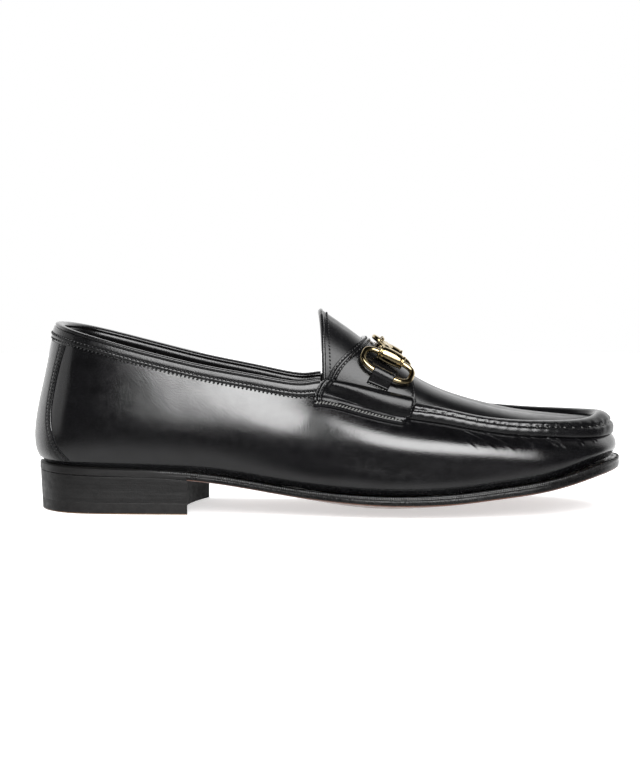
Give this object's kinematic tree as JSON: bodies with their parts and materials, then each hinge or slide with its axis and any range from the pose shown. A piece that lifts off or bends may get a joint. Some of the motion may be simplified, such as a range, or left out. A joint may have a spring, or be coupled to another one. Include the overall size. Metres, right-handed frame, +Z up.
{
  "type": "bit loafer",
  "caption": "Right shoe of a pair: low slip-on loafer with a raised hand-sewn apron seam, saddle strap with a metal snaffle bit, stacked heel and thin leather sole",
  "frame": {"origin": "on the floor under the middle of the heel's top lift", "axes": "+X to the toe, +Y to the inner side of the foot, +Z up"},
  "size_m": [0.3032, 0.103, 0.1024],
  "materials": {
    "upper_calf": "high polish",
    "strap_calf": "polish",
    "trim_calf": "polish",
    "sole_leather": "black edge, brown underside",
    "heel_leather": "satin",
    "lift_rubber": "matte",
    "lining": "matte",
    "pale_gold": "polished"
  },
  "bodies": {
    "root": {"upper": "upper_calf", "saddle_strap": "strap_calf", "tab_lateral": "strap_calf", "tab_medial": "strap_calf", "collar_binding": "trim_calf", "backstay": "trim_calf", "outsole": "sole_leather", "heel_stack": "heel_leather", "top_lift": "lift_rubber", "insole": "lining", "ring_lateral": "pale_gold", "ring_medial": "pale_gold", "bar_lateral": "pale_gold", "bar_medial": "pale_gold", "centre_link": "pale_gold"}
  },
  "joints": []
}
